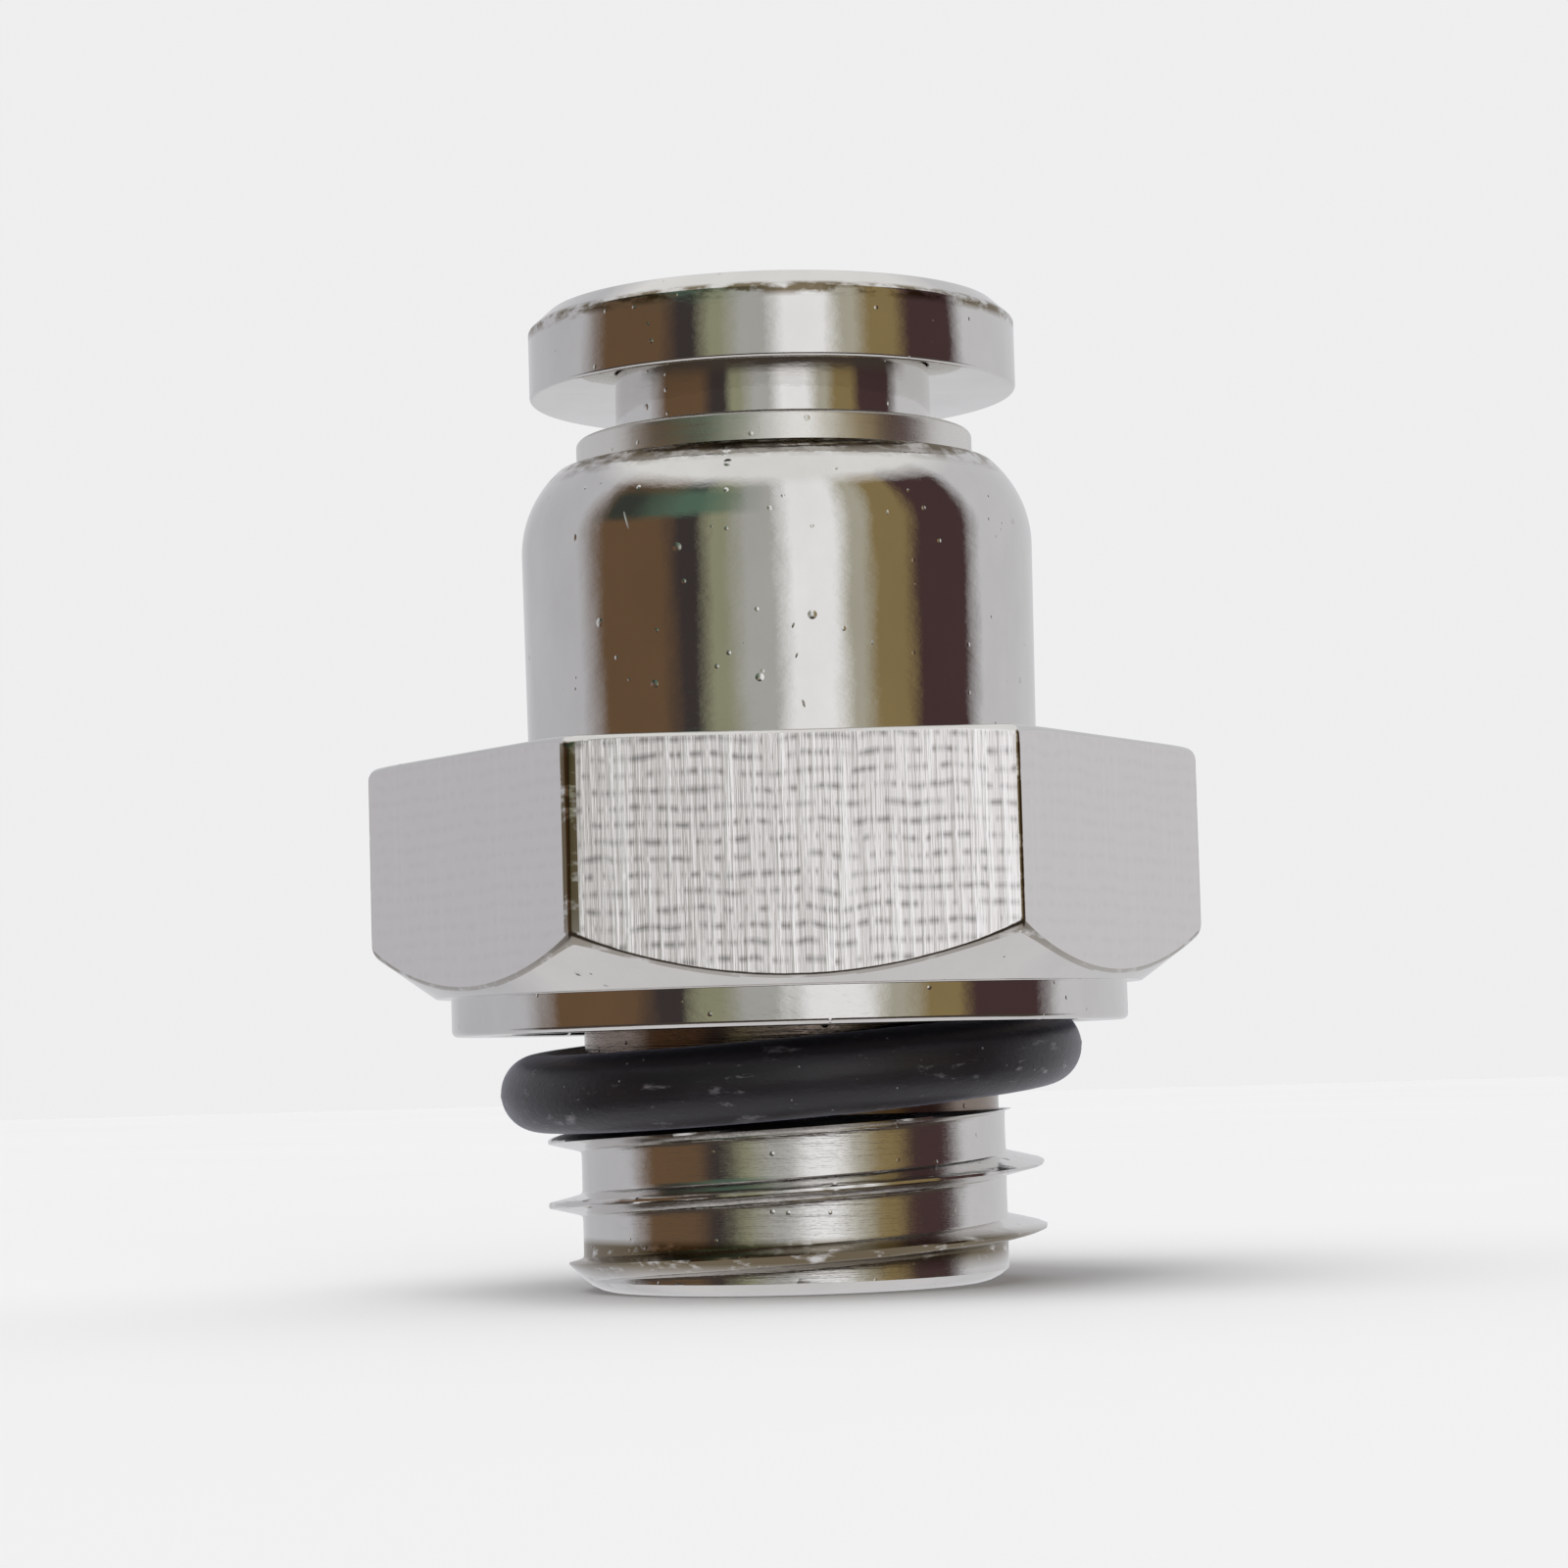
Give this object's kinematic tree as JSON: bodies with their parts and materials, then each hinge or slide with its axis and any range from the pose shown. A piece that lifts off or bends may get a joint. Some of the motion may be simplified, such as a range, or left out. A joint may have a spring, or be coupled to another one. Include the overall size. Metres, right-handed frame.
{
  "type": "push to connect fitting",
  "caption": "Straight push-in tube fitting with a male threaded stud, a hexagon, a rolled-over barrel, a press-to-release button and a loose sealing ring in the undercut.",
  "frame": {"origin": "middle of the stud's end face, on which the fitting stands", "axes": "+Z along the fitting's axis towards the tube; the hexagon's corners lie on X and two of its flats face -Y and +Y"},
  "size_m": [0.0196, 0.017, 0.0231],
  "materials": {
    "plated_body": "bright nickel plate on turned brass, finely pitted",
    "plated_bush": "satin nickel plate on brass",
    "plated_button": "bright nickel plate on turned brass",
    "spring_steel": "rolled stainless spring steel",
    "inner_brass": "turned brass",
    "seal_rubber": "black nitrile rubber",
    "ring_rubber": "black nitrile rubber, slightly glossy"
  },
  "bodies": {
    "body": {"fitting_body": "plated_body", "guide_bush": "plated_bush", "grip_ring": "spring_steel", "backup_ring": "inner_brass", "tube_seal": "seal_rubber", "thread_o_ring": "ring_rubber"},
    "button": {"release_button": "plated_button"},
    "claw_1": {"grip_claw_1": "spring_steel"},
    "claw_2": {"grip_claw_2": "spring_steel"},
    "claw_3": {"grip_claw_3": "spring_steel"},
    "claw_4": {"grip_claw_4": "spring_steel"},
    "claw_5": {"grip_claw_5": "spring_steel"},
    "claw_6": {"grip_claw_6": "spring_steel"},
    "claw_7": {"grip_claw_7": "spring_steel"},
    "claw_8": {"grip_claw_8": "spring_steel"}
  },
  "joints": [
    {"name": "button_press", "type": "slide", "parent": "body", "child": "button", "axis": [0, 0, -1], "range_m": [0, 0.0009], "stiffness_N_per_m": 2000, "springref_m": -0.0003},
    {"name": "claw_1_flex", "type": "hinge", "parent": "body", "child": "claw_1", "pos_m": [0.00415, 0, 0.01554], "axis": [0, -1, 0], "range_deg": [0, 17]},
    {"name": "claw_2_flex", "type": "hinge", "parent": "body", "child": "claw_2", "pos_m": [0.00293, 0.00293, 0.01554], "axis": [0.7071, -0.7071, 0], "range_deg": [0, 17]},
    {"name": "claw_3_flex", "type": "hinge", "parent": "body", "child": "claw_3", "pos_m": [0, 0.00415, 0.01554], "axis": [1, 0, 0], "range_deg": [0, 17]},
    {"name": "claw_4_flex", "type": "hinge", "parent": "body", "child": "claw_4", "pos_m": [-0.00293, 0.00293, 0.01554], "axis": [0.7071, 0.7071, 0], "range_deg": [0, 17]},
    {"name": "claw_5_flex", "type": "hinge", "parent": "body", "child": "claw_5", "pos_m": [-0.00415, 0, 0.01554], "axis": [0, 1, 0], "range_deg": [0, 17]},
    {"name": "claw_6_flex", "type": "hinge", "parent": "body", "child": "claw_6", "pos_m": [-0.00293, -0.00293, 0.01554], "axis": [-0.7071, 0.7071, 0], "range_deg": [0, 17]},
    {"name": "claw_7_flex", "type": "hinge", "parent": "body", "child": "claw_7", "pos_m": [0, -0.00415, 0.01554], "axis": [-1, 0, 0], "range_deg": [0, 17]},
    {"name": "claw_8_flex", "type": "hinge", "parent": "body", "child": "claw_8", "pos_m": [0.00293, -0.00293, 0.01554], "axis": [-0.7071, -0.7071, 0], "range_deg": [0, 17]}
  ],
  "couplings": [
    {"joint": "claw_1_flex", "follows": "button_press", "rad_per_m": 329.6},
    {"joint": "claw_2_flex", "follows": "button_press", "rad_per_m": 329.6},
    {"joint": "claw_3_flex", "follows": "button_press", "rad_per_m": 329.6},
    {"joint": "claw_4_flex", "follows": "button_press", "rad_per_m": 329.6},
    {"joint": "claw_5_flex", "follows": "button_press", "rad_per_m": 329.6},
    {"joint": "claw_6_flex", "follows": "button_press", "rad_per_m": 329.6},
    {"joint": "claw_7_flex", "follows": "button_press", "rad_per_m": 329.6},
    {"joint": "claw_8_flex", "follows": "button_press", "rad_per_m": 329.6}
  ]
}
